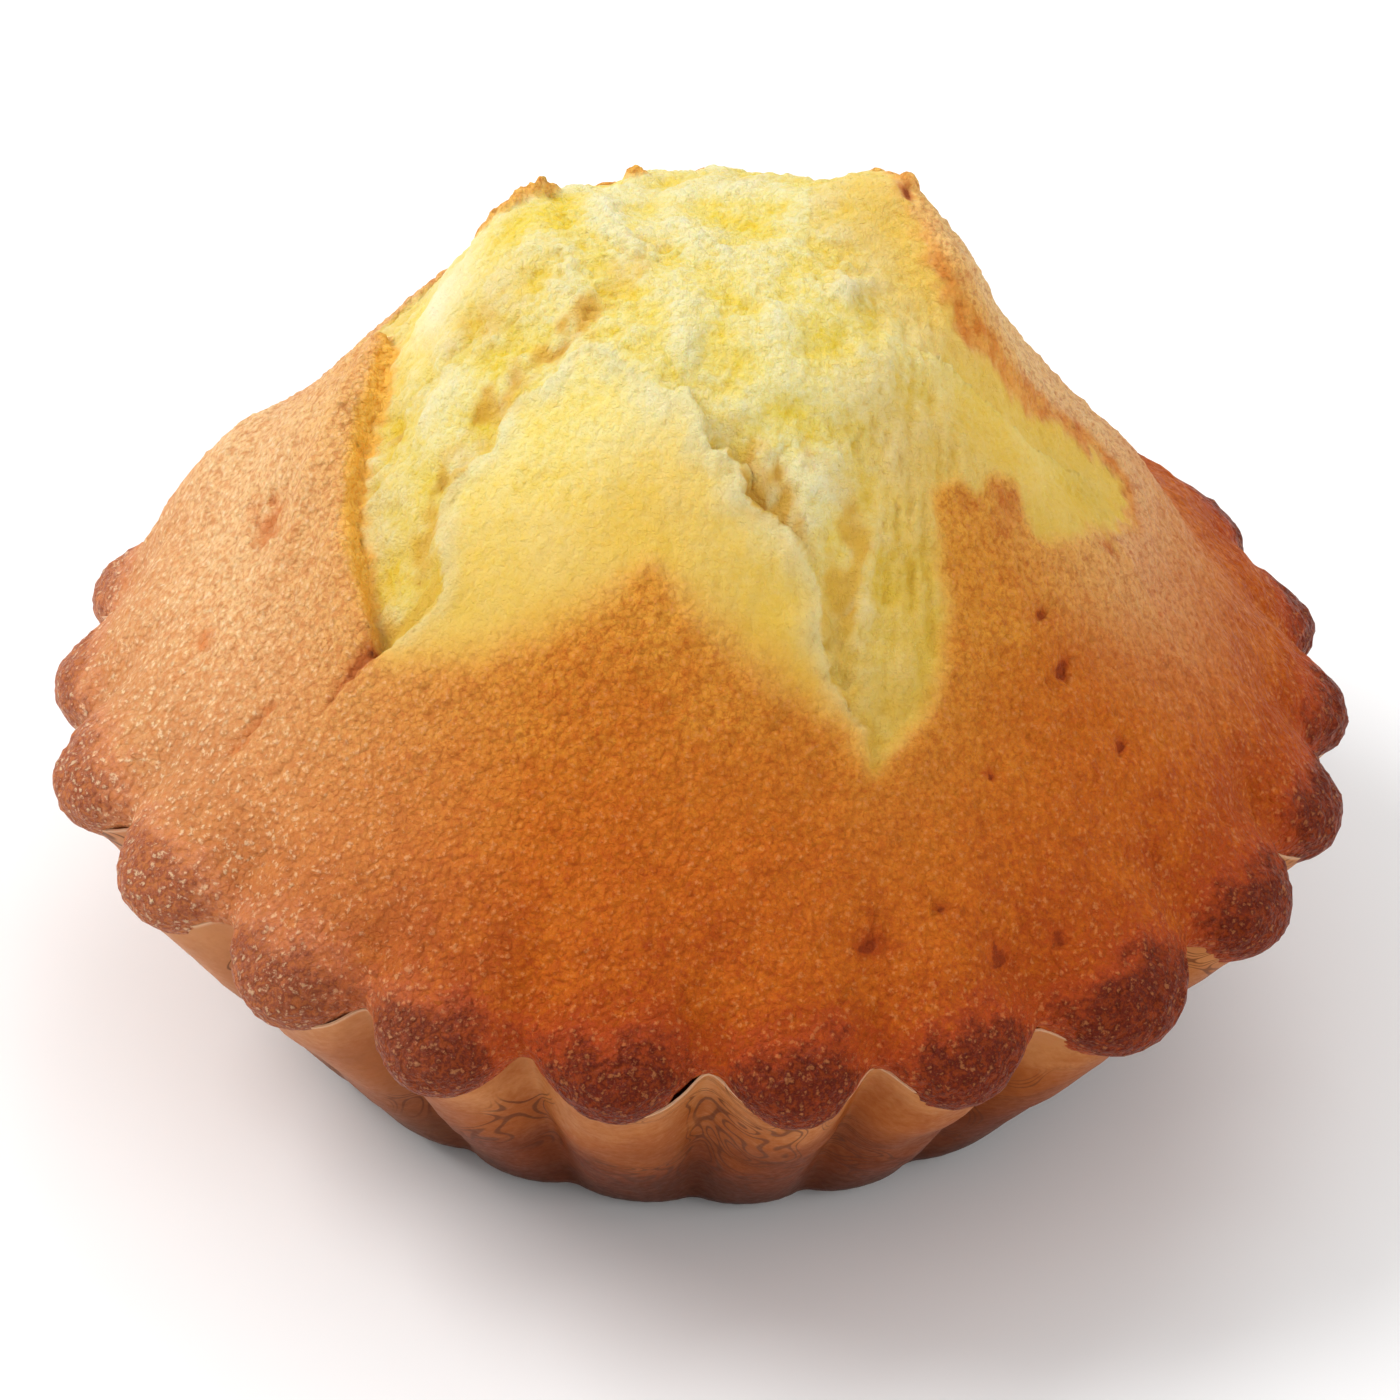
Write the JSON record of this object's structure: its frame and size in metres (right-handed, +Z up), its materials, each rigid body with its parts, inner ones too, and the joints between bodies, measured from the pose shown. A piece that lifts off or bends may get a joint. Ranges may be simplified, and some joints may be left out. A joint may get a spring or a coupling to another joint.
{
  "type": "madeleine cake in a paper case",
  "caption": "Round domed madeleine cake, burst open on top over a soft yellow crumb, baked in a fluted paper case that it fills.",
  "frame": {"origin": "middle of the flat underside of the paper case, on the surface it stands on", "axes": "+Z up, from the base to the burst top; -Y is the front, +X is the right side seen from the front"},
  "size_m": [0.08, 0.0795, 0.0547],
  "materials": {
    "cake_crust": "baked sponge, golden brown crust and pale yellow crumb",
    "case_paper": "thin greased paper, translucent, with fine brown curls"
  },
  "bodies": {
    "root": {"cake": "cake_crust", "paper_case": "case_paper"}
  },
  "joints": []
}
